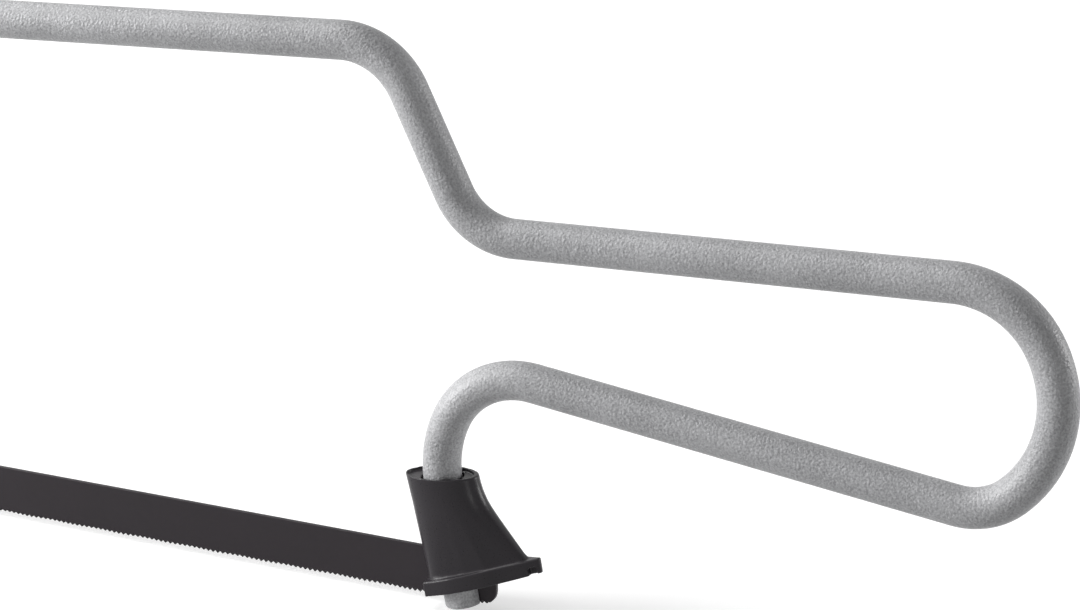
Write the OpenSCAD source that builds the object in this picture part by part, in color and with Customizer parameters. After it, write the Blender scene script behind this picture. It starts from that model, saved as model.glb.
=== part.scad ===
// Mini hacksaw with a bent rod frame, a pin-ended blade and a moulded blade holder.
// +X runs along the blade to the handle end, +Y is out of the frame's plane, +Z is up.
// The middle of the outline's length and the lowest rod end are at X = 0 and Z = 0.

/* [Frame rod] */
// Diameter of the coated steel rod
rod_d = 5.4; // [5.2:0.05:5.5]
// Lean of both rod ends, each foot outward
lean = 10.75; // [10.25:0.25:11.5]
// Straight length of the rear rod end, from its tip to the bend
end_len = 17.65; // [17.55:0.05:20]
// Inside break on the rim of each rod tip
tip_chamfer = 0.3; // [0.2:0.05:0.5]
// Radius of the easy first part of the rear rod end's bend, on the rod's centre line
end_ease_r = 16.5; // [15:0.25:18]
// Angle of the easy first part of the bend
end_ease_turn = 34.75; // [31:0.25:37]
// Radius of the rest of that bend, and of the front rod end's
end_bend_r = 11.8; // [11:0.1:12.5]
// Drop of the lower handle bar toward the loop
lower_fall = 7.1; // [6.5:0.1:7.6]
// Straight length of the lower handle bar
lower_len = 59.5; // [58:0.25:61]
// Tight first bend of the loop
loop_r1 = 8.9; // [8.5:0.1:9.5]
// Wide middle bend of the loop
loop_r2 = 16.7; // [16:0.1:17.5]
// Last bend of the loop
loop_r3 = 13.5; // [13:0.1:14]
// Straight length of the upper handle bar
upper_len = 60; // [58:0.25:62]
// Slope of the drop behind the throat, from the blade's line
drop_slope = 63.2; // [61:0.2:65]
// Straight length of the drop
drop_len = 14.7; // [14:0.1:16]
// Bend radius between the upper handle bar and the drop
drop_low_r = 9.7; // [9:0.1:10.5]
// Bend radius between the drop and the top bar
drop_high_r = 10.9; // [10:0.1:12]
// Rise of the top bar toward the drop
top_rise = 2.7; // [2.2:0.1:3.2]

/* [Blade] */
// Distance between the two pin centres
pin_span = 150; // [148:0.5:152]
// Height of the blade from tooth tips to back
blade_h = 7; // [6.8:0.05:7.2]
// Thickness of the blade
blade_t = 0.65; // [0.55:0.05:0.7]
// Height of the tooth tips above the rod tips
blade_lift = 0.6; // [0.5:0.05:0.8]
// Blade length past each pin centre
blade_past = 2.15; // [2.1:0.05:2.6]
// Corner radius at each blade end
blade_corner = 2; // [1.5:0.1:2.2]
// Teeth in each inch of blade
teeth_per_inch = 32; // [24, 32]
// Depth of a tooth
tooth_depth = 0.5; // [0.4:0.05:0.55]
// Least plain length at each end of the blade, beside the last tooth
tooth_margin = 0.5; // [0.4:0.1:6]
// Width of the slot in each rod end
slot_w = 0.95; // [0.85:0.05:1.1]
// Gap between the blade's back and the roof of the slot
slot_roof_gap = 0.1; // [0.05:0.05:0.3]

/* [Blade pins] */
// Diameter of a blade pin
pin_d = 1.6; // [1.5:0.05:1.8]
// Length of a blade pin
pin_len = 4; // [3.6:0.1:4.6]
// Height of the pin centres above the blade's middle
pin_rise = 0.3; // [0:0.05:0.5]
// Gap round a pin in the blade's hole
pin_gap = 0.02; // [0.01:0.01:0.03]
// Gap between a pin and the rod end it pulls against
pin_seat_gap = 0.04; // [0.02:0.01:0.06]

/* [Blade holder] */
// Height of the holder's top above the rod tip, along the rod end
holder_top = 19.2; // [18.8:0.1:19.4]
// Height of the foot plate's underside at the rod, along the rod end
foot_low = 2.75; // [2.5:0.05:2.9]
// Thickness of the foot plate
foot_t = 2.35; // [2.2:0.05:2.5]
// Tilt of the foot plate up toward the ear, from square to the rod end
foot_tilt = 7.75; // [7:0.25:8.5]
// Tilt of the top face down toward the ear, from square to the rod end
top_tilt = 5.75; // [5.25:0.25:6.25]
// Reach of the ear behind the rod's centre line
ear_reach = 12.8; // [12.4:0.1:13.2]
// Reach of the foot plate before the rod's centre line
nose_reach = 4.2; // [4:0.1:4.5]
// Half length of the oval top face
top_half_len = 5.35; // [5.2:0.05:5.6]
// How far the body leans back behind the rod's centre line at the ridge
ridge_back = 0.25; // [0.1:0.05:0.4]
// Half width of the body
body_half_w = 3.2; // [3.15:0.05:3.4]
// Widest half width of the foot plate
foot_half_w = 3.95; // [3.85:0.05:4.1]
// Half width of the ear at its end
ear_half_w = 0.35; // [0.3:0.05:0.6]
// Height at which the rear ridge turns down toward the ear, along the rod end
ridge_up = 15.2; // [14.8:0.1:15.6]
// Depth of the shallow recess in the top face
top_recess = 0.4; // [0.2:0.05:0.5]
// Width of the raised lip round the recess
top_lip = 0.35; // [0.3:0.05:0.4]
// Gap between the holder's bore and the rod
bore_gap = 0.08; // [0.06:0.01:0.1]
// Gap between the bore's wider top part and the rod, where the bend begins
mouth_gap = 0.28; // [0.26:0.01:0.3]
// Length of the bore's wider top part
mouth_len = 6; // [5:0.5:7]
// Width of the slit that straddles the blade
slit_w = 1.1; // [1:0.05:1.2]
// Gap between the holder and the parts that it covers
cover_gap = 0.4; // [0.3:0.05:0.45]
// Gap between the roof of the slit and the blade's back
roof_gap = 0.06; // [0.04:0.01:0.1]
// Length and height of the notch in each side of the ear's end
ear_notch = 1.1; // [0.8:0.05:1.2]
// Wall left between the notches and the ear's end
ear_wall = 0.35; // [0.3:0.05:0.6]
// Thickness of the web left between the two notches
ear_web = 0.4; // [0.3:0.1:0.6]

/* [Hidden] */
$fn = 64;
slice_t = 0.1;
inch = 25.4;
rod_r = rod_d / 2;
bend_swell = 0.01;
join_len = 0.15;
pin_r = pin_d / 2;
tooth_pitch = inch / teeth_per_inch;

// A pose is [x, z, heading], the heading in degrees from +X toward +Z.
function ahead(p, len) = [p[0] + len * cos(p[2]), p[1] + len * sin(p[2]), p[2]];
function along_circle(p, turn, r) = [
    p[0] + r * (sin(p[2] + turn) - sin(p[2])),
    p[1] - r * (cos(p[2] + turn) - cos(p[2])),
    p[2] + turn
];
function bent(p, turn, r) = along_circle(p, turn, sign(turn) * r);

// Headings of the straight lengths, and where each loop bend hands over to the next.
rear_up = 90 + lean;
lower_heading = -lower_fall;
loop_heading1 = 44.2;
loop_heading2 = 121.3;
upper_heading = 182.2;
drop_heading = 180 - drop_slope;
top_heading = 180 + top_rise;
front_down = 270 - lean;

// The rod's route in its own frame, whose origin is the rear tip.
p_tip = [0, 0, rear_up];
p_end = ahead(p_tip, end_len);
p_eased = bent(p_end, -end_ease_turn, end_ease_r);
turn_end = lower_heading - p_eased[2];
p_lower = bent(p_eased, turn_end, end_bend_r);
p_loop1 = ahead(p_lower, lower_len);
turn1 = loop_heading1 - lower_heading;
p_loop2 = bent(p_loop1, turn1, loop_r1);
turn2 = loop_heading2 - loop_heading1;
p_loop3 = bent(p_loop2, turn2, loop_r2);
turn3 = upper_heading - loop_heading2;
p_upper = bent(p_loop3, turn3, loop_r3);
p_low_bend = ahead(p_upper, upper_len);
turn_low = drop_heading - upper_heading;
p_drop = bent(p_low_bend, turn_low, drop_low_r);
p_high_bend = ahead(p_drop, drop_len);
turn_high = top_heading - drop_heading;
p_top = bent(p_high_bend, turn_high, drop_high_r);

// Each pin pulls on the outer side of its rod end.
pin_off = rod_r + pin_r + pin_seat_gap;
pin_z = blade_lift + blade_h / 2 + pin_rise;
pin_up = (pin_z - pin_off * sin(lean)) / cos(lean);
rear_pin_x = pin_off * cos(lean) - pin_up * sin(lean);
front_pin_x = rear_pin_x - pin_span;
front_tip_x = front_pin_x + rear_pin_x;

// The front rod end stands on its tip and meets the top bar's line.
turn_front = front_down - top_heading;
front_run = end_bend_r * tan(turn_front / 2);
to_front = [front_tip_x - p_top[0], -p_top[1]];
cross_lines = cos(top_heading) * sin(front_down) - sin(top_heading) * cos(front_down);
top_cut = (to_front[0] * sin(front_down) - to_front[1] * cos(front_down)) / cross_lines;
front_cut = (to_front[1] * cos(top_heading) - to_front[0] * sin(top_heading)) / cross_lines;
top_len = top_cut - front_run;
front_len = front_cut - front_run;
p_front_bend = ahead(p_top, top_len);
p_front = bent(p_front_bend, turn_front, end_bend_r);
p_front_tip = ahead(p_front, front_len);

blade_front = front_pin_x - blade_past;
blade_rear = rear_pin_x + blade_past;
blade_back = blade_lift + blade_h;
slot_roof = blade_back / cos(lean) + rod_r * tan(lean) + slot_roof_gap;

// The middle of the whole length and the lowest rod rim set the part's origin.
loop_centre_x = p_loop3[0] - loop_r2 * sin(p_loop3[2]);
rear_most = loop_centre_x + loop_r2 + rod_r;
front_most = min(blade_front, front_tip_x - rod_r * cos(lean) - tip_chamfer * sin(lean));
mid_x = (rear_most + front_most) / 2;
drop_z = (rod_r - tip_chamfer) * sin(lean);

// Sets its children from the rod's own frame into the part's.
module placed() {
    translate([-mid_x, 0, drop_z]) children();
}

// Stands its children at a pose, their +X along the heading.
module at_pose(p) {
    translate([p[0], 0, p[1]]) rotate([0, -p[2], 0]) children();
}

// The rod swells by a hair in its bends, and each straight length runs a little into them.
module straight(p, len) {
    at_pose(p) translate([-join_len, 0, 0]) rotate([0, 90, 0])
        cylinder(h = len + 2 * join_len, r = rod_r);
}

module left_bend(turn, r, rod) {
    rotate([90, 90, 0])
        rotate_extrude(angle = turn) translate([r, 0]) circle(r = rod);
}

// Lead and tail are the lengths by which a bend runs into the bends before and after it.
module bend(p, turn, r, swell = bend_swell, lead = 0, tail = 0) {
    side = sign(turn);
    degrees = 180 / PI / r;
    sweep = side * turn + (lead + tail) * degrees;
    at_pose(along_circle(p, -side * lead * degrees, side * r)) translate([0, 0, side * r])
        if (side > 0) left_bend(sweep, r, rod_r + swell);
        else mirror([0, 0, 1]) left_bend(sweep, r, rod_r + swell);
}

// One slotted rod end from its chamfered tip into the bend, along +X.
module rod_end(len) {
    difference() {
        rotate([0, 90, 0]) rotate_extrude() polygon([
            [0, 0],
            [rod_r - tip_chamfer, 0],
            [rod_r, tip_chamfer],
            [rod_r, len + join_len],
            [0, len + join_len]
        ]);
        translate([-1, -slot_w / 2, -rod_d])
            cube([slot_roof + 1, slot_w, 2 * rod_d]);
    }
}

module frame_rod() {
    color([0.66, 0.67, 0.68]) placed() {
        at_pose(p_tip) rod_end(end_len);
        bend(p_end, -end_ease_turn, end_ease_r);
        bend(p_eased, turn_end, end_bend_r, 2 * bend_swell, join_len);
        straight(p_lower, lower_len);
        bend(p_loop1, turn1, loop_r1);
        bend(p_loop2, turn2, loop_r2, 0, join_len, join_len);
        bend(p_loop3, turn3, loop_r3);
        straight(p_upper, upper_len);
        bend(p_low_bend, turn_low, drop_low_r);
        straight(p_drop, drop_len);
        bend(p_high_bend, turn_high, drop_high_r);
        straight(p_top, top_len);
        bend(p_front_bend, turn_front, end_bend_r);
        at_pose([p_front_tip[0], p_front_tip[1], front_down - 180]) rod_end(front_len);
    }
}

// The comb that the gullets are cut with, each tooth's steep face toward the handle.
module gullets() {
    count = floor((blade_rear - blade_front - 2 * tooth_margin) / tooth_pitch);
    last = blade_rear - tooth_margin;
    first = last - count * tooth_pitch;
    low = blade_lift;
    root = blade_lift + tooth_depth;
    polygon(concat(
        [[first, low - tooth_depth]],
        [for (i = [0 : count - 1]) each [
            [first + i * tooth_pitch, root],
            [first + (i + 0.12) * tooth_pitch, root],
            [first + (i + 0.9) * tooth_pitch, low],
            [first + (i + 1) * tooth_pitch, low]
        ]],
        [[last, low - tooth_depth]]
    ));
}

module rounded_blank() {
    for (x = [blade_front + blade_corner, blade_rear - blade_corner])
        for (z = [blade_lift + blade_corner, blade_back - blade_corner])
            translate([x, z]) circle(r = blade_corner);
    translate([blade_front, blade_lift + blade_corner])
        square([blade_rear - blade_front, blade_h - 2 * blade_corner]);
    translate([blade_front + blade_corner, blade_lift])
        square([blade_rear - blade_front - 2 * blade_corner, blade_h]);
}

module blade() {
    color([0.17, 0.16, 0.15]) placed()
        translate([0, blade_t / 2, 0]) rotate([90, 0, 0]) linear_extrude(blade_t)
            difference() {
                rounded_blank();
                gullets();
                for (x = [front_pin_x, rear_pin_x])
                    translate([x, pin_z]) circle(r = pin_r + pin_gap);
            }
}

module pin_at(x) {
    color([0.6, 0.6, 0.62]) placed()
        translate([x, pin_len / 2, pin_z]) rotate([90, 0, 0]) cylinder(h = pin_len, r = pin_r);
}

module front_blade_pin() {
    pin_at(front_pin_x);
}

module rear_blade_pin() {
    pin_at(rear_pin_x);
}

// Half widths of the foot plate and of the body's foot, by distance behind the rod.
foot_rows = [
    [-nose_reach, 0.86 * foot_half_w],
    [-0.13 * nose_reach, foot_half_w],
    [0.17 * ear_reach, 0.97 * foot_half_w],
    [0.39 * ear_reach, 0.84 * foot_half_w],
    [0.58 * ear_reach, 0.63 * foot_half_w],
    [0.8 * ear_reach, 0.38 * foot_half_w],
    [ear_reach, ear_half_w]
];
body_rows = [
    [-0.98 * nose_reach, 0.3 * body_half_w],
    [-0.93 * nose_reach, 0.64 * body_half_w],
    [-0.76 * nose_reach, 0.86 * body_half_w],
    [-0.45 * nose_reach, 0.97 * body_half_w],
    [0.05 * ear_reach, 0.98 * body_half_w],
    [0.35 * ear_reach, 0.88 * body_half_w],
    [0.61 * ear_reach, 0.7 * body_half_w],
    [0.84 * ear_reach, 0.38 * body_half_w]
];

function mirrored_rows(rows) = concat(
    [for (row = rows) [row[0], -row[1]]],
    [for (i = [len(rows) - 1 : -1 : 0]) rows[i]]
);
function oval(a, b) = [for (i = [0 : 47]) [a * cos(7.5 * i), b * sin(7.5 * i)]];

// Stands a flat outline at a height on the rod end, tilted up toward the ear.
module tilted(up, tilt) {
    translate([0, 0, up]) rotate([0, -tilt, 0]) children();
}

module top_slice() {
    tilted(holder_top, -top_tilt) translate([0, 0, -slice_t])
        linear_extrude(slice_t) polygon(oval(top_half_len, body_half_w));
}

module ridge_slice() {
    tilted(ridge_up, 0) linear_extrude(slice_t) translate([ridge_back, 0])
        polygon(oval(top_half_len, body_half_w));
}

module holder_shell() {
    hull() {
        top_slice();
        ridge_slice();
    }
    hull() {
        ridge_slice();
        tilted(foot_low + foot_t - slice_t, foot_tilt)
            linear_extrude(slice_t) polygon(mirrored_rows(body_rows));
    }
    intersection() {
        linear_extrude(holder_top) polygon(mirrored_rows(foot_rows));
        tilted(foot_low, foot_tilt) translate([-holder_top, -holder_top, 0])
            cube([2 * holder_top, 2 * holder_top, foot_t]);
    }
}

// All that is cut from the holder in line with the rod end.
module holder_cuts() {
    translate([0, 0, -rod_d]) cylinder(h = 2 * end_len, r = rod_r + bore_gap);
    translate([0, 0, holder_top - mouth_len]) cylinder(h = end_len, r = rod_r + mouth_gap);
    tilted(holder_top, -top_tilt) translate([0, 0, -top_recess])
        linear_extrude(rod_d) polygon(oval(top_half_len - top_lip, body_half_w - top_lip));
    translate([0, -pin_len / 2 - cover_gap, -rod_d])
        cube([pin_off + pin_r + cover_gap, pin_len + 2 * cover_gap,
              rod_d + pin_up + pin_r + cover_gap]);
    for (y = [-foot_half_w, ear_web / 2])
        tilted(foot_low, foot_tilt)
            translate([ear_reach - ear_wall - ear_notch, y, -ear_notch])
            cube([ear_notch, foot_half_w - ear_web / 2, 2 * ear_notch]);
}

module blade_holder() {
    color([0.1, 0.1, 0.1]) placed() difference() {
        rotate([0, -lean, 0]) difference() {
            holder_shell();
            holder_cuts();
        }
        translate([-2 * end_len, -slit_w / 2, -rod_d])
            cube([2 * end_len + blade_rear + cover_gap, slit_w,
                  rod_d + blade_back + roof_gap]);
    }
}

frame_rod();
blade();
front_blade_pin();
rear_blade_pin();
blade_holder();
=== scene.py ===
import math

import bpy
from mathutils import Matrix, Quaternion, Vector


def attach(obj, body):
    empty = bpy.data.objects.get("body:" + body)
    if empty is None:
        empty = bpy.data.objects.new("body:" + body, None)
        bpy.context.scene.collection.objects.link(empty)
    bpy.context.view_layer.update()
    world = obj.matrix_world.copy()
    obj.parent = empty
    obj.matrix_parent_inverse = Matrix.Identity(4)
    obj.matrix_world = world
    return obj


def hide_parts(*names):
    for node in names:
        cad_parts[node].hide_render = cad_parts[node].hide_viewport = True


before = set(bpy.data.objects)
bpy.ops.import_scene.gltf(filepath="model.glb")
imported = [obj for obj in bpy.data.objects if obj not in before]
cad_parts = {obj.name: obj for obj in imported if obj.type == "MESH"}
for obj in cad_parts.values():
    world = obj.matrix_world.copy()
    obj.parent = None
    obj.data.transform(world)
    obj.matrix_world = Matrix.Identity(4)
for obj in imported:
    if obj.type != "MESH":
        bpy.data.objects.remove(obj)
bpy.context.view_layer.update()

MM = 0.001

# ------------------------------------------------------------------ sizes, in millimetres
# They are the part's own sizes, so each piece stands where its CAD node stands. Only the gap in
# the holder's bore and the lip round its dish are a few hundredths wider than the part's.

# The rod: its two ends, then each straight length and bend radius from the rear end on.
ROD_D = 5.4
ROD_R = ROD_D / 2
TIP_BREAK = 0.3
END_LEN = 17.65
END_EASE_R = 16.5
END_BEND_R = 11.8
LOWER_LEN = 59.5
LOOP_R1 = 8.9
LOOP_R2 = 16.7
LOOP_R3 = 13.5
UPPER_LEN = 60
DROP_LOW_R = 9.7
DROP_LEN = 14.7
DROP_HIGH_R = 10.9
SLOT_WIDE = 0.95
SLOT_ROOF_GAP = 0.1

# The blade and its pins.
PIN_SPAN = 150
BLADE_HIGH = 7
BLADE_THICK = 0.65
BLADE_LIFT = 0.6
BLADE_PAST = 2.15
BLADE_CORNER = 2
TOOTH_DEEP = 0.5
TOOTH_MARGIN = 0.5
TOOTH_PITCH = 25.4 / 32
PIN_R = 0.8
PIN_LONG = 4
PIN_RISE = 0.3
PIN_GAP = 0.02
PIN_SEAT_GAP = 0.04

# The holder, measured along the rear rod end and behind its centre line.
HOLDER_TOP = 19.2
FOOT_LOW = 2.75
FOOT_THICK = 2.35
FOOT_TILT = math.radians(7.75)
TOP_TILT = math.radians(5.75)
RIDGE_UP = 15.2
RIDGE_BACK = 0.25
RIDGE_SOFT = 0.9
TOP_HALF = 5.35
BODY_HALF = 3.2
EAR_REACH = 12.8
EAR_NOTCH = 1.1
EAR_WALL = 0.35
EAR_WEB = 0.4
SLIT_WIDE = 1.1
SLIT_ROOF_GAP = 0.06
COVER_GAP = 0.4
BORE_GAP = 0.1
MOUTH_GAP = 0.28
MOUTH_LEN = 6
DISH_DEEP = 0.4
DISH_LIP = 0.4


# ------------------------------------------------------------------ the rod's route
# A pose is (x, z, heading) in the rod's own frame, whose origin is the rear tip.

def ahead(pose, length):
    x, z, heading = pose
    return (x + length * math.cos(heading), z + length * math.sin(heading), heading)


def bent(pose, turn, radius):
    x, z, heading = pose
    r = math.copysign(radius, turn)
    return (
        x + r * (math.sin(heading + turn) - math.sin(heading)),
        z - r * (math.cos(heading + turn) - math.cos(heading)),
        heading + turn,
    )


def follow(pose, steps):
    """The pose at the start of each step, and the last one."""
    reached = [pose]
    for step in steps:
        pose = ahead(pose, step[1]) if step[0] == "straight" else bent(pose, *step[1:])
        reached.append(pose)
    return reached


# The lean of the rod ends and the turn of the rear end's easy bend, then the heading of each bar,
# with the two headings between the loop's three bends.
lean = math.radians(10.75)
eased = math.radians(34.75)
lower = math.radians(-7.1)
loop_1 = math.radians(44.2)
loop_2 = math.radians(121.3)
upper = math.radians(182.2)
drop = math.radians(180 - 63.2)
top = math.radians(182.7)
front_down = math.radians(270) - lean

tip = (0, 0, math.radians(90) + lean)
route = [
    ("straight", END_LEN),
    ("bend", -eased, END_EASE_R),
    ("bend", lower - tip[2] + eased, END_BEND_R),
    ("straight", LOWER_LEN),
    ("bend", loop_1 - lower, LOOP_R1),
    ("bend", loop_2 - loop_1, LOOP_R2),
    ("bend", upper - loop_2, LOOP_R3),
    ("straight", UPPER_LEN),
    ("bend", drop - upper, DROP_LOW_R),
    ("straight", DROP_LEN),
    ("bend", top - drop, DROP_HIGH_R),
]

# Each pin rests on the outer side of its rod end, and the blade reaches a little past both pins.
pin_off = ROD_R + PIN_R + PIN_SEAT_GAP
pin_z = BLADE_LIFT + BLADE_HIGH / 2 + PIN_RISE
pin_up = (pin_z - pin_off * math.sin(lean)) / math.cos(lean)
rear_pin_x = pin_off * math.cos(lean) - pin_up * math.sin(lean)
front_pin_x = rear_pin_x - PIN_SPAN
front_tip_x = front_pin_x + rear_pin_x
blade_front = front_pin_x - BLADE_PAST
blade_rear = rear_pin_x + BLADE_PAST
blade_back = BLADE_LIFT + BLADE_HIGH
slot_roof = blade_back / math.cos(lean) + ROD_R * math.tan(lean) + SLOT_ROOF_GAP

# The top bar meets the front rod end, which stands on its own tip.
top_start = follow(tip, route)[-1]
turn_front = front_down - top
run = END_BEND_R * math.tan(turn_front / 2)
gap_x, gap_z = front_tip_x - top_start[0], -top_start[1]
cross = math.cos(top) * math.sin(front_down) - math.sin(top) * math.cos(front_down)
top_len = (gap_x * math.sin(front_down) - gap_z * math.cos(front_down)) / cross - run
front_len = (gap_z * math.cos(top) - gap_x * math.sin(top)) / cross - run
route += [("straight", top_len), ("bend", turn_front, END_BEND_R), ("straight", front_len)]
poses = follow(tip, route)

# The part's origin is under the middle of its length, at the lowest rod rim.
loop_x, _, loop_heading = poses[6]
rear_most = loop_x - LOOP_R2 * math.sin(loop_heading) + LOOP_R2 + ROD_R
front_most = min(blade_front, front_tip_x - ROD_R * math.cos(lean) - TIP_BREAK * math.sin(lean))
mid_x = (rear_most + front_most) / 2
drop_z = (ROD_R - TIP_BREAK) * math.sin(lean)


def place(x, y, z):
    """A point of the rod's own frame, in the part's frame and in metres."""
    return Vector(((x - mid_x) * MM, y * MM, (z + drop_z) * MM))


REAR_TIP = place(0, 0, 0)
FRONT_TIP = place(front_tip_x, 0, 0)
REAR_WAY = Vector((math.cos(tip[2]), 0, math.sin(tip[2])))
FRONT_WAY = Vector((-math.cos(front_down), 0, -math.sin(front_down)))
ROD_ENDS = ((REAR_TIP, REAR_WAY), (FRONT_TIP, FRONT_WAY))


# ------------------------------------------------------------------ small helpers

# Points within TOUCH or ON_PLANE, in metres, count as at one height or on one plane. Vertices
# within MERGE_WITHIN, in millimetres, are merged.
TOUCH = 1e-7
ON_PLANE = 1e-6
MERGE_WITHIN = 0.001


def object_mode():
    if bpy.context.object and bpy.context.object.mode != "OBJECT":
        bpy.ops.object.mode_set(mode="OBJECT")


def pick(obj):
    object_mode()
    bpy.ops.object.select_all(action="DESELECT")
    obj.select_set(True)
    bpy.context.view_layer.objects.active = obj


def start_edit(obj, action="DESELECT"):
    """Edit mode with no vertex selected, or all of them."""
    pick(obj)
    bpy.ops.object.mode_set(mode="EDIT")
    bpy.ops.mesh.select_mode(type="VERT")
    bpy.ops.mesh.select_all(action=action)


def select_where(obj, test, kind="VERT"):
    """Selects the vertices, edges or faces that pass the test."""
    bpy.ops.mesh.select_mode(type=kind)
    bpy.ops.mesh.select_all(action="DESELECT")
    bpy.ops.object.mode_set(mode="OBJECT")
    mesh = obj.data
    if kind == "VERT":
        for v in mesh.vertices:
            v.select = bool(test(v.co))
    elif kind == "EDGE":
        for e in mesh.edges:
            a, b = (mesh.vertices[i].co for i in e.vertices)
            e.select = bool(test(a, b))
    else:
        for p in mesh.polygons:
            p.select = bool(test(p.normal))
    bpy.ops.object.mode_set(mode="EDIT")


def extrude(way):
    bpy.ops.mesh.extrude_region_move(TRANSFORM_OT_translate={"value": way})


def bevel(offset, segments):
    """Bevels the selected edges, by an offset in millimetres."""
    bpy.ops.mesh.bevel(offset=offset * MM, segments=segments, affect="EDGES")


def settle(obj, name):
    """Puts the piece's place into its mesh and names it."""
    pick(obj)
    bpy.ops.object.transform_apply(location=True, rotation=True, scale=True)
    obj.name = name
    obj.data.name = name
    return obj


def tidy_normals(obj):
    start_edit(obj, "SELECT")
    bpy.ops.mesh.remove_doubles(threshold=MERGE_WITHIN * MM)
    bpy.ops.mesh.normals_make_consistent(inside=False)
    object_mode()


def apply_all(obj):
    pick(obj)
    for modifier in list(obj.modifiers):
        bpy.ops.object.modifier_apply(modifier=modifier.name)


def combine(obj, other, operation):
    """One exact boolean, which uses the other object up."""
    modifier = obj.modifiers.new("combine", "BOOLEAN")
    modifier.operation = operation
    modifier.solver = "EXACT"
    modifier.object = other
    apply_all(obj)
    bpy.data.objects.remove(other)


def cut(obj, *tools):
    for tool in tools:
        combine(obj, tool, "DIFFERENCE")


def box(size, middle, tilt=0):
    """A box, its sizes in millimetres and its middle a point of the part's frame."""
    bpy.ops.mesh.primitive_cube_add(size=1, location=middle, rotation=(0, -tilt, 0))
    made = bpy.context.object
    made.scale = [s * MM for s in size]
    bpy.ops.object.transform_apply(location=True, rotation=True, scale=True)
    return made


def cylinder(radius, length, middle, rotation, sides=64):
    """A cylinder, its sizes in millimetres and its middle a point of the part's frame."""
    bpy.ops.mesh.primitive_cylinder_add(
        vertices=sides, radius=radius * MM, depth=length * MM, location=middle, rotation=rotation
    )
    return bpy.context.object


# ------------------------------------------------------------------ coated rod

# A bend turns by about BEND_STEP at a time. Each slot's cutting box starts SLOT_PAST below the tip.
ROD_SIDES = 48
BEND_STEP = math.radians(3.5)
LEAST_STEPS = 6
BREAK_STEPS = 4
SLOT_PAST = 1


def on_rod_end(co, end, way):
    """Whether a point lies on the flat face of a rod end."""
    near = ROD_R * 1.01 * MM
    return (co - end).length < near and abs((co - end).dot(way)) < ON_PLANE


def sweep_rod():
    x, z, heading = tip
    bpy.ops.mesh.primitive_circle_add(
        vertices=ROD_SIDES,
        radius=ROD_R * MM,
        location=place(x, 0, z),
        rotation=(0, math.radians(90) - heading, 0),
    )
    rod = settle(bpy.context.object, "coated_rod")
    start_edit(rod, "SELECT")
    for (x, z, heading), step in zip(poses, route):
        if step[0] == "straight":
            extrude(Vector((math.cos(heading), 0, math.sin(heading))) * step[1] * MM)
        else:
            angle, radius = step[1], math.copysign(step[2], step[1])
            centre = place(x - radius * math.sin(heading), 0, z + radius * math.cos(heading))
            steps = max(LEAST_STEPS, round(abs(angle) / BEND_STEP))
            bpy.ops.mesh.spin(steps=steps, angle=angle, center=centre, axis=(0, 1, 0))
    bpy.ops.mesh.edge_face_add()
    select_where(rod, lambda co: on_rod_end(co, REAR_TIP, REAR_WAY))
    bpy.ops.mesh.edge_face_add()
    select_where(rod, lambda co: any(on_rod_end(co, end, way) for end, way in ROD_ENDS))
    bpy.ops.mesh.select_mode(type="FACE")
    bevel(TIP_BREAK, BREAK_STEPS)
    tidy_normals(rod)
    for end, way in ROD_ENDS:
        tilt = math.atan2(way.z, way.x) - math.radians(90)
        middle = end + way * (slot_roof - SLOT_PAST) / 2 * MM
        cut(rod, box((3 * ROD_D, SLOT_WIDE, slot_roof + SLOT_PAST), middle, tilt))
    return rod


rod = sweep_rod()


# ------------------------------------------------------------------ blade

CORNER_STEPS = 8
PIN_SIDES = 40
ACROSS = (math.radians(90), 0, 0)
TEETH = int((blade_rear - blade_front - 2 * TOOTH_MARGIN) / TOOTH_PITCH)
FIRST_TOOTH = blade_rear - TOOTH_MARGIN - TEETH * TOOTH_PITCH

# A gullet's width and slant are shares of the tooth pitch. The comb starts COMB_PAST below the
# tips. The teeth's set runs in a wave of WAVE_TEETH teeth, SET_WIDE to each side.
GULLET_WIDE = 0.9
GULLET_SLANT = 0.78
COMB_PAST = 0.5
WAVE_TEETH = 10
SET_WIDE = 0.11


def bevelled_blank():
    """The blade's blank, a thin strip with rounded corners and a hole at each end."""
    size = (blade_rear - blade_front, BLADE_THICK, BLADE_HIGH)
    middle = place((blade_rear + blade_front) / 2, 0, (blade_back + BLADE_LIFT) / 2)
    blank = box(size, middle)
    start_edit(blank)
    select_where(blank, lambda a, b: abs(a.y - b.y) > 0.5 * BLADE_THICK * MM, "EDGE")
    bevel(BLADE_CORNER, CORNER_STEPS)
    object_mode()
    for x in (front_pin_x, rear_pin_x):
        cut(blank, cylinder(PIN_R + PIN_GAP, PIN_LONG, place(x, 0, pin_z), ACROSS, PIN_SIDES))
    return blank


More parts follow.
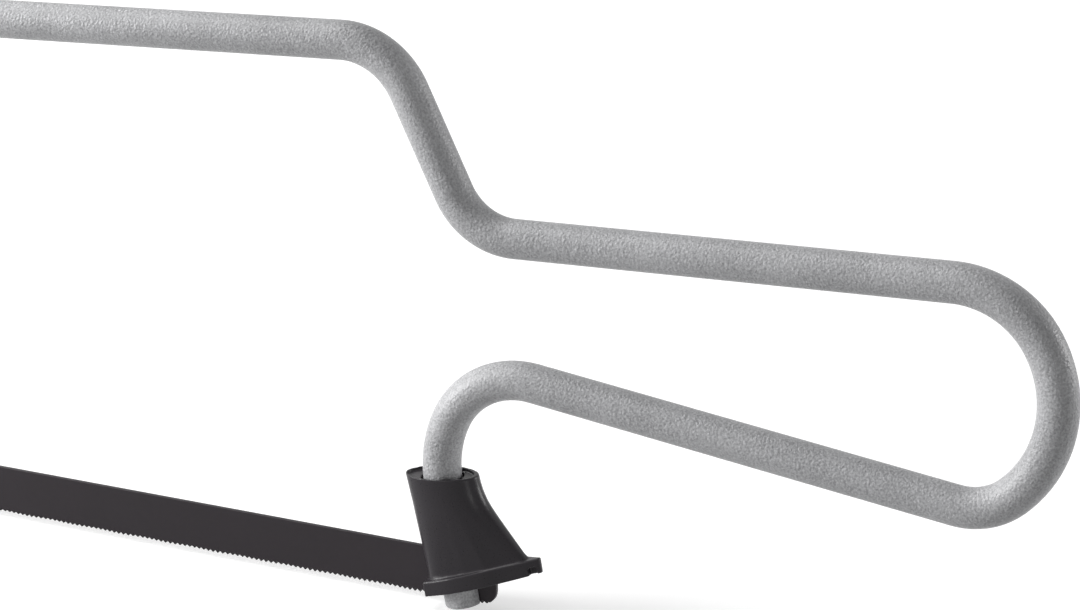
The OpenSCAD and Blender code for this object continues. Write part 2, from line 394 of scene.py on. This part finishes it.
def gullet_comb():
    """One gullet's wedge, repeated along the blade as a comb to cut the teeth with.

    It is a box with an edge loop at the tooth tips. Above that its rear face slants forward
    to the root, which leaves each tooth its slanting side.
    """
    deep = TOOTH_DEEP + COMB_PAST
    comb = box(
        (GULLET_WIDE * TOOTH_PITCH, 3 * BLADE_THICK, deep),
        place(FIRST_TOOTH + GULLET_WIDE / 2 * TOOTH_PITCH, 0, BLADE_LIFT + TOOTH_DEEP - deep / 2),
    )
    root = place(0, 0, BLADE_LIFT + TOOTH_DEEP).z
    half_way = place(FIRST_TOOTH, 0, 0).x + 0.5 * TOOTH_PITCH * MM
    start_edit(comb, "SELECT")
    bpy.ops.mesh.bisect(plane_co=place(0, 0, BLADE_LIFT), plane_no=(0, 0, 1))
    select_where(comb, lambda co: co.z > root - TOUCH and co.x > half_way)
    bpy.ops.transform.translate(value=(-GULLET_SLANT * TOOTH_PITCH * MM, 0, 0))
    object_mode()
    rows = comb.modifiers.new("rows", "ARRAY")
    rows.use_relative_offset = False
    rows.use_constant_offset = True
    rows.constant_offset_displace = (TOOTH_PITCH * MM, 0, 0)
    rows.count = TEETH
    apply_all(comb)
    return comb


def set_teeth(blade):
    """Bends the tooth tips to both sides in a slow wave, each tooth as a whole."""
    first = place(FIRST_TOOTH, 0, 0).x
    tips = place(0, 0, BLADE_LIFT).z
    for v in blade.data.vertices:
        along = (v.co.x - first) / (TOOTH_PITCH * MM)
        height = (v.co.z - tips) / (TOOTH_DEEP * MM)
        if height < 0.98 and 0 < along < TEETH + 0.01:
            turn = 2 * math.pi * math.ceil(along - 0.001) / WAVE_TEETH
            v.co.y += SET_WIDE * MM * math.sin(turn) * (1 - height)


blade = bevelled_blank()
cut(blade, gullet_comb())
set_teeth(blade)
blade = settle(blade, "toothed_blade")


# ------------------------------------------------------------------ pins

PIN_BEVEL = 0.16
PIN_BEVEL_STEPS = 3
PIN_FACE_INSET = 0.3
PIN_FACE_DEEP = 0.04
END_FACING = 0.99


def turn_pin(x, name):
    pin = settle(cylinder(PIN_R, PIN_LONG, place(x, 0, pin_z), ACROSS, PIN_SIDES), name)
    start_edit(pin)
    select_where(pin, lambda normal: abs(normal.y) > END_FACING, "FACE")
    bevel(PIN_BEVEL, PIN_BEVEL_STEPS)
    select_where(pin, lambda normal: abs(normal.y) > END_FACING, "FACE")
    bpy.ops.mesh.inset(thickness=PIN_FACE_INSET * MM, depth=-PIN_FACE_DEEP * MM)
    tidy_normals(pin)
    return pin


front_pin = turn_pin(front_pin_x, "front_steel_pin")
rear_pin = turn_pin(rear_pin_x, "rear_steel_pin")


# ------------------------------------------------------------------ moulded holder
# Its own frame stands on the rear rod end: u runs behind the rod, w up along it.

W_WAY = REAR_WAY
U_WAY = Vector((W_WAY.z, 0, -W_WAY.x))
UP_ROD = math.radians(90) - tip[2]

# The body: its outline at the foot, the fillet where it meets the plate, and how deep it is rooted
# there. LEVEL_POWER crowds its levels toward the foot.
BODY_NOSE = 4.05
NOSE_POWER = 3
FLANK_CORNERS = [(0, 2.35), (2.5, 2.25), (5.3, 1.85), (6.1, 1.5), (8.9, 0.55), (9.85, 0.15)]
FLANK_ROUND = 0.85
FILLET = 0.2
BODY_ROOT = 0.7
BODY_SIDES = 96
BODY_LEVELS = 26
LEVEL_POWER = 1.4
SETTLE_ROUNDS = 4

# The foot plate: its half width at some distances behind the rod. Its top is lowered toward both
# ends, by PLATE_THINNING at THIN_BEYOND from the thickest place.
PLATE_ROWS = [
    (-4.2, 3.4),
    (-0.55, 3.95),
    (2.18, 3.83),
    (4.99, 3.32),
    (7.42, 2.49),
    (10.24, 1.5),
    (EAR_REACH, 0.35),
]
PLATE_STEPS = 44
PLATE_THINNING = 0.2
THICKEST_AT = 4.5
THIN_BEYOND = 7.5
THINNING_POWER = 1.5
RIM_BEVEL = 0.25
RIM_STEPS = 3

# The cutting tools: how long each is, or how far it reaches past the holder.
CUT_PAST = 5
BORE_CUT = 40
BORE_MIDDLE = 12
DISH_CUT = 5
SLIT_CUT = 30
SLIT_PAST = 6
NOTCH_CUT = 4

# The skin: its voxels, its smoothing, and the share of its triangles that is kept.
SKIN_VOXEL = 0.11
SKIN_SOFTEN = 0.5
SKIN_ROUNDS = 10
SKIN_KEEP = 0.45


def on_rod(u, y, w):
    """A point of the holder's frame, in the part's frame and in metres."""
    return REAR_TIP + (U_WAY * u + W_WAY * w) * MM + Vector((0, y * MM, 0))


def off_rod(co):
    """The u and w of a point of the part's frame."""
    return (co - REAR_TIP).dot(U_WAY) / MM, (co - REAR_TIP).dot(W_WAY) / MM


def rounded(angle, half_long, half_side, power):
    """The point of a rounded outline whose outward direction has this angle.

    Power 2 makes the outline an ellipse, and a higher power makes it squarer.
    """
    c, s = math.cos(angle), math.sin(angle)
    x, y = abs(half_long * c), abs(half_side * s)
    q = power / (power - 1)
    size = (x ** q + y ** q) ** (1 / power)
    u = half_long * x ** (1 / (power - 1)) / size
    v = half_side * y ** (1 / (power - 1)) / size
    return math.copysign(u, c), math.copysign(v, s)


def foot_outline(angle):
    """The body's outline at its foot: a rounded nose, straight flanks and a narrow tail."""
    c, s = math.cos(angle), math.sin(angle)
    if c < 0:
        return rounded(angle, BODY_NOSE, BODY_HALF, NOSE_POWER)
    u, v = max(FLANK_CORNERS, key=lambda corner: corner[0] * c + corner[1] * abs(s))
    return u + FLANK_ROUND * c, math.copysign(v, s) + FLANK_ROUND * s


def body_point(angle, level):
    """A point of the body's wall, level 0 at its root in the foot plate and 1 at the top rim.

    The outline narrows from the foot to the ridge and stays as the top's above it. How far a
    point lies back and how high it is depend on each other, so they are settled in rounds.
    """
    top_u, top_v = rounded(angle, TOP_HALF, BODY_HALF, 2)
    foot_u, foot_v = foot_outline(angle)
    u, v, w = top_u, top_v, HOLDER_TOP
    floor = FOOT_LOW + FOOT_THICK
    foot_w = floor + foot_u * math.tan(FOOT_TILT)
    for _ in range(SETTLE_ROUNDS):
        low_w = floor - BODY_ROOT + u * math.tan(FOOT_TILT)
        high_w = HOLDER_TOP - u * math.tan(TOP_TILT)
        w = low_w + (high_w - low_w) * level
        under_ridge = RIDGE_SOFT * math.log1p(math.exp((RIDGE_UP - w) / RIDGE_SOFT))
        share = min(1, under_ridge / (RIDGE_UP - foot_w))
        back = RIDGE_BACK * (HOLDER_TOP - w) / (HOLDER_TOP - RIDGE_UP)
        u = min(back, RIDGE_BACK) * (1 - share) + top_u + (foot_u - top_u) * share
        v = top_v + (foot_v - top_v) * share
    flare = FILLET * math.exp(-max(0, w - floor - u * math.tan(FOOT_TILT)) / FILLET)
    return u + flare * math.cos(angle), v + flare * math.sin(angle), w


def plate_slope(i):
    """How fast the foot plate widens at one of its rows."""
    before, after = PLATE_ROWS[max(i - 1, 0)], PLATE_ROWS[min(i + 1, len(PLATE_ROWS) - 1)]
    return (after[1] - before[1]) / (after[0] - before[0])


def plate_half(u):
    """Half width of the foot plate at a distance behind the rod, smooth through its rows."""
    k = max(i for i in range(len(PLATE_ROWS) - 1) if PLATE_ROWS[i][0] <= u + 1e-9)
    (u0, h0), (u1, h1) = PLATE_ROWS[k], PLATE_ROWS[k + 1]
    t = (u - u0) / (u1 - u0)
    m0, m1 = plate_slope(k) * (u1 - u0), plate_slope(k + 1) * (u1 - u0)
    return (
        (2 * t ** 3 - 3 * t ** 2 + 1) * h0
        + (t ** 3 - 2 * t ** 2 + t) * m0
        + (3 * t ** 2 - 2 * t ** 3) * h1
        + (t ** 3 - t ** 2) * m1
    )


def raise_body():
    bpy.ops.mesh.primitive_circle_add(vertices=BODY_SIDES, radius=MM)
    body = bpy.context.object
    start_edit(body, "SELECT")
    for _ in range(BODY_LEVELS):
        extrude((0, 0, MM))
    bpy.ops.mesh.edge_face_add()
    select_where(body, lambda co: abs(co.z) < TOUCH)
    bpy.ops.mesh.edge_face_add()
    object_mode()
    for v in body.data.vertices:
        angle = math.atan2(v.co.y, v.co.x)
        u, y, w = body_point(angle, (v.co.z / MM / BODY_LEVELS) ** LEVEL_POWER)
        v.co = on_rod(u, y, w)
    tidy_normals(body)
    return body


def on_plate_top(co):
    u, w = off_rod(co)
    return w - FOOT_LOW - u * math.tan(FOOT_TILT) > FOOT_THICK / 2


def press_plate():
    """The foot plate with the ear at its end, a little thinner toward both ends."""
    bpy.ops.mesh.primitive_grid_add(x_subdivisions=PLATE_STEPS, y_subdivisions=1, size=1)
    plate = bpy.context.object
    first, last = PLATE_ROWS[0][0], PLATE_ROWS[-1][0]
    for v in plate.data.vertices:
        u = first + (last - first) * (v.co.x + 0.5)
        half = math.copysign(plate_half(u), v.co.y)
        v.co = on_rod(u, half, FOOT_LOW + u * math.tan(FOOT_TILT))
    start_edit(plate, "SELECT")
    extrude(W_WAY * FOOT_THICK / math.cos(FOOT_TILT) * MM)
    object_mode()
    for v in plate.data.vertices:
        if on_plate_top(v.co):
            off_middle = abs((off_rod(v.co)[0] - THICKEST_AT) / THIN_BEYOND)
            v.co -= W_WAY * PLATE_THINNING * min(1, off_middle ** THINNING_POWER) * MM
    start_edit(plate)
    select_where(
        plate, lambda a, b: a.y * b.y > 0 and on_plate_top(a) and on_plate_top(b), "EDGE"
    )
    bevel(RIM_BEVEL, RIM_STEPS)
    tidy_normals(plate)
    return plate


def holder_cuts():
    """The bore, its wider mouth, the dish in the top, the cavity round the rear pin, the slit
    over the blade and the notches in the ear."""
    bore = cylinder(ROD_R + BORE_GAP, BORE_CUT, on_rod(0, 0, BORE_MIDDLE), (0, UP_ROD, 0))
    mouth = cylinder(ROD_R + MOUTH_GAP, 2 * MOUTH_LEN, on_rod(0, 0, HOLDER_TOP), (0, UP_ROD, 0))
    dish_middle = on_rod(0, 0, HOLDER_TOP - DISH_DEEP) + W_WAY * (DISH_CUT / 2) * MM
    dish = cylinder(1 / MM, DISH_CUT, dish_middle, (0, UP_ROD + TOP_TILT, 0))
    dish.scale = ((TOP_HALF - DISH_LIP) * MM, (BODY_HALF - DISH_LIP) * MM, 1)
    bpy.ops.object.transform_apply(location=True, rotation=True, scale=True)
    reach = pin_off + PIN_R + COVER_GAP
    high = pin_up + PIN_R + COVER_GAP
    cavity = box(
        (reach, PIN_LONG + 2 * COVER_GAP, high + CUT_PAST),
        on_rod(reach / 2, 0, (high - CUT_PAST) / 2),
        lean,
    )
    slit_high = blade_back + SLIT_ROOF_GAP + SLIT_PAST
    slit_x = blade_rear + COVER_GAP - SLIT_CUT / 2
    slit = box(
        (SLIT_CUT, SLIT_WIDE, slit_high),
        place(slit_x, 0, blade_back + SLIT_ROOF_GAP - slit_high / 2),
    )
    notch_u = EAR_REACH - EAR_WALL - EAR_NOTCH / 2
    notches = [
        box(
            (EAR_NOTCH, NOTCH_CUT, 2 * EAR_NOTCH),
            on_rod(
                notch_u * math.cos(FOOT_TILT),
                side * (NOTCH_CUT / 2 + EAR_WEB / 2),
                FOOT_LOW + notch_u * math.sin(FOOT_TILT),
            ),
            lean + FOOT_TILT,
        )
        for side in (-1, 1)
    ]
    return bore, mouth, dish, cavity, slit, *notches


def mould_holder():
    """The holder, remeshed and smoothed so that its edges are soft as on a moulded piece."""
    holder = raise_body()
    combine(holder, press_plate(), "UNION")
    cut(holder, *holder_cuts())
    skin = holder.modifiers.new("skin", "REMESH")
    skin.mode = "VOXEL"
    skin.voxel_size = SKIN_VOXEL * MM
    skin.use_smooth_shade = True
    soften = holder.modifiers.new("soften", "SMOOTH")
    soften.factor = SKIN_SOFTEN
    soften.iterations = SKIN_ROUNDS
    thin = holder.modifiers.new("thin", "DECIMATE")
    thin.ratio = SKIN_KEEP
    apply_all(holder)
    return settle(holder, "moulded_holder")


holder = mould_holder()


# ------------------------------------------------------------------ materials

def new_material(name):
    material = bpy.data.materials.new(name)
    material.use_nodes = True
    nodes, links = material.node_tree.nodes, material.node_tree.links
    return material, nodes, links, nodes["Principled BSDF"]


def grain_group():
    """Fine moulded or sprayed grain: a height for the bump, and a slow and a fast mask."""
    group = bpy.data.node_groups.new("sprayed_grain", "ShaderNodeTree")
    layers = (
        ("Grain Size", "Height", {"Detail": 1.5, "Roughness": 0.45}),
        ("Cloud Size", "Cloud", {"Detail": 2.0}),
        ("Fleck Size", "Fleck", {"Detail": 1.0}),
    )
    for size, result, settings in layers:
        group.interface.new_socket(size, in_out="INPUT", socket_type="NodeSocketFloat")
        group.interface.new_socket(result, in_out="OUTPUT", socket_type="NodeSocketFloat")
    nodes, links = group.nodes, group.links
    entry, leave = nodes.new("NodeGroupInput"), nodes.new("NodeGroupOutput")
    coords = nodes.new("ShaderNodeTexCoord")
    for size, result, settings in layers:
        noise = nodes.new("ShaderNodeTexNoise")
        for key, value in settings.items():
            noise.inputs[key].default_value = value
        links.new(entry.outputs[size], noise.inputs["Scale"])
        links.new(coords.outputs["Object"], noise.inputs["Vector"])
        links.new(noise.outputs["Fac"], leave.inputs[result])
    return group


GRAIN = grain_group()


def ranged(nodes, links, source, low, high):
    """The middle of a noise's range, 0.3 to 0.7, stretched to run from low to high."""
    node = nodes.new("ShaderNodeMapRange")
    node.inputs["From Min"].default_value = 0.3
    node.inputs["From Max"].default_value = 0.7
    node.inputs["To Min"].default_value = low
    node.inputs["To Max"].default_value = high
    links.new(source, node.inputs["Value"])
    return node.outputs["Result"]


def grained_material(
    name,
    grain,
    cloud,
    fleck,
    dark,
    light,
    roughness,
    bump_mm,
    specular=0.5,
    metallic=0,
    shares=None,
):
    """A material with fine grain in its height, colour and roughness.

    The first three numbers are the noises' scales, per metre. The colour follows the cloud, or
    where shares are given a sum of the cloud and the fleck with those shares.
    """
    material, nodes, links, shader = new_material(name)
    node = nodes.new("ShaderNodeGroup")
    node.node_tree = GRAIN
    for size, value in (("Grain Size", grain), ("Cloud Size", cloud), ("Fleck Size", fleck)):
        node.inputs[size].default_value = value
    masks = node.outputs
    tone = masks["Cloud"]
    if shares:
        both = nodes.new("ShaderNodeMath")
        both.operation = "ADD"
        links.new(ranged(nodes, links, masks["Cloud"], 0, shares[0]), both.inputs[0])
        links.new(ranged(nodes, links, masks["Fleck"], 0, shares[1]), both.inputs[1])
        tone = both.outputs[0]
    colour = nodes.new("ShaderNodeMix")
    colour.data_type = "RGBA"
    colour.inputs["A"].default_value = (*dark, 1)
    colour.inputs["B"].default_value = (*light, 1)
    links.new(tone, colour.inputs["Factor"])
    links.new(colour.outputs["Result"], shader.inputs["Base Color"])
    links.new(ranged(nodes, links, masks["Fleck"], *roughness), shader.inputs["Roughness"])
    shader.inputs["Specular IOR Level"].default_value = specular
    shader.inputs["Metallic"].default_value = metallic
    bump = nodes.new("ShaderNodeBump")
    bump.inputs["Strength"].default_value = 1.0
    bump.inputs["Distance"].default_value = bump_mm * MM
    links.new(masks["Height"], bump.inputs["Height"])
    links.new(bump.outputs["Normal"], shader.inputs["Normal"])
    return material


COAT = grained_material(
    "silver_powder_coat",
    grain=2700,
    cloud=90,
    fleck=3600,
    dark=(0.215, 0.216, 0.222),
    light=(0.453, 0.454, 0.466),
    roughness=(0.36, 0.46),
    bump_mm=0.115,
    specular=0.4,
    shares=(0.35, 0.65),
)
BLACK_STEEL = grained_material(
    "black_blade_steel",
    grain=2500,
    cloud=60,
    fleck=900,
    dark=(0.0165, 0.0132, 0.0158),
    light=(0.024, 0.0193, 0.0232),
    roughness=(0.42, 0.55),
    bump_mm=0.004,
    specular=0.2,
)
PIN_STEEL = grained_material(
    "blackened_pin_steel",
    grain=3000,
    cloud=200,
    fleck=5000,
    dark=(0.10, 0.096, 0.092),
    light=(0.15, 0.145, 0.14),
    roughness=(0.38, 0.5),
    bump_mm=0.003,
    metallic=1,
)
PLASTIC = grained_material(
    "black_moulded_plastic",
    grain=2600,
    cloud=150,
    fleck=5200,
    dark=(0.0205, 0.018, 0.0209),
    light=(0.0265, 0.0234, 0.0272),
    roughness=(0.27, 0.35),
    bump_mm=0.006,
    specular=0.17,
)


def finish_piece(obj, material, body, node, smooth=35):
    """Gives a piece its material and body, and hides the CAD node it stands in for. Edges below the
    angle are shaded smooth.
    """
    pick(obj)
    obj.data.materials.clear()
    obj.data.materials.append(material)
    bpy.ops.object.shade_smooth_by_angle(angle=math.radians(smooth))
    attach(obj, body)
    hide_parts(node)


finish_piece(rod, COAT, "saw", "frame_rod")
finish_piece(blade, BLACK_STEEL, "saw", "blade", 30)
finish_piece(front_pin, PIN_STEEL, "saw", "front_blade_pin")
finish_piece(rear_pin, PIN_STEEL, "saw", "rear_blade_pin")
finish_piece(holder, PLASTIC, "holder", "blade_holder", 60)


# ------------------------------------------------------------------ floor, backdrop, lights

WHITE = (1, 1, 1, 1)
FLOOR_SIZE = 60
FLOOR_BASE = (0.62, 0.62, 0.62, 1)
FLOOR_GLOW = 0.55
SKY_STRENGTH = 0.03
MIDDLE = Vector((0.03, 0, 0.04))

# Each lamp's name, azimuth and elevation in degrees, size in metres and power in watts.
LAMPS = [
    ("key_left", -67, 21, 0.42, 10),
    ("high_left", -70, 60, 0.4, 4.2),
    ("behind_left", -115, 30, 0.4, 2.5),
    ("low_left", -64, 4, 0.3, 3.2),
    ("low_right", 52, 4, 0.14, 0.8),
    ("behind_right", 122, 10, 0.3, 4.5),
]


def white_seen(nodes, links):
    """1 for the rays that should see white, those of the camera and those that a surface
    reflects or lets through, and 0 for the rays that carry light."""
    path = nodes.new("ShaderNodeLightPath")
    seen = path.outputs["Is Camera Ray"]
    for kind in ("Is Glossy Ray", "Is Transmission Ray"):
        most = nodes.new("ShaderNodeMath")
        most.operation = "MAXIMUM"
        links.new(seen, most.inputs[0])
        links.new(path.outputs[kind], most.inputs[1])
        seen = most.outputs[0]
    return seen


def pale_floor():
    bpy.ops.mesh.primitive_plane_add(size=FLOOR_SIZE, location=(0, 0, 0))
    floor = bpy.context.object
    floor.name = "pale_floor"
    material, nodes, links, shader = new_material("pale_floor")
    shader.inputs["Base Color"].default_value = FLOOR_BASE
    shader.inputs["Roughness"].default_value = 0.9
    glow = nodes.new("ShaderNodeEmission")
    glow.inputs["Color"].default_value = WHITE
    glow.inputs["Strength"].default_value = FLOOR_GLOW
    add = nodes.new("ShaderNodeAddShader")
    mix = nodes.new("ShaderNodeMixShader")
    links.new(white_seen(nodes, links), mix.inputs["Fac"])
    links.new(shader.outputs[0], mix.inputs[1])
    links.new(shader.outputs[0], add.inputs[0])
    links.new(glow.outputs[0], add.inputs[1])
    links.new(add.outputs[0], mix.inputs[2])
    links.new(mix.outputs[0], nodes["Material Output"].inputs["Surface"])
    floor.data.materials.append(material)


def soft_light(name, azimuth, elevation, size, power):
    """A square soft lamp 1 m from the saw, its azimuth counted from the front toward the handle."""
    data = bpy.data.lights.new(name, "AREA")
    data.shape = "SQUARE"
    data.size = size
    data.energy = power
    lamp = bpy.data.objects.new(name, data)
    bpy.context.scene.collection.objects.link(lamp)
    az, el = math.radians(azimuth), math.radians(elevation)
    way = Vector((math.sin(az) * math.cos(el), -math.cos(az) * math.cos(el), math.sin(el)))
    lamp.location = MIDDLE + way
    lamp.rotation_euler = way.to_track_quat("Z", "Y").to_euler()


def pale_world():
    """White behind the saw, and a faint even light."""
    world = bpy.data.worlds.new("pale_studio")
    bpy.context.scene.world = world
    world.use_nodes = True
    nodes, links = world.node_tree.nodes, world.node_tree.links
    sky = nodes["Background"]
    sky.inputs["Color"].default_value = WHITE
    sky.inputs["Strength"].default_value = SKY_STRENGTH
    shown = nodes.new("ShaderNodeBackground")
    shown.inputs["Color"].default_value = WHITE
    choose = nodes.new("ShaderNodeMixShader")
    links.new(white_seen(nodes, links), choose.inputs["Fac"])
    links.new(sky.outputs[0], choose.inputs[1])
    links.new(shown.outputs[0], choose.inputs[2])
    links.new(choose.outputs[0], nodes["World Output"].inputs["Surface"])


pale_floor()
for lamp_row in LAMPS:
    soft_light(*lamp_row)
pale_world()
bpy.context.scene.view_settings.view_transform = "Standard"


# ------------------------------------------------------------------ camera
# Its place is in millimetres from the rear rod tip. It looks down and to the left.

CAMERA_AT = (157.76, -337.9, 164.1)
CAMERA_AZIMUTH = math.radians(23.504)
CAMERA_DOWN = math.radians(17.874)
CAMERA_ROLL = math.radians(0.82)

camera_data = bpy.data.cameras.new("camera")
camera_data.sensor_width = 36
camera_data.lens = 96.67
camera_data.clip_start, camera_data.clip_end = 0.01, 100
camera = bpy.data.objects.new("camera", camera_data)
bpy.context.scene.collection.objects.link(camera)
camera.location = place(*CAMERA_AT)
look = Vector((
    -math.sin(CAMERA_AZIMUTH) * math.cos(CAMERA_DOWN),
    math.cos(CAMERA_AZIMUTH) * math.cos(CAMERA_DOWN),
    -math.sin(CAMERA_DOWN),
))
turned = look.to_track_quat("-Z", "Y") @ Quaternion((0, 0, 1), CAMERA_ROLL)
camera.rotation_euler = turned.to_euler()
bpy.context.scene.camera = camera
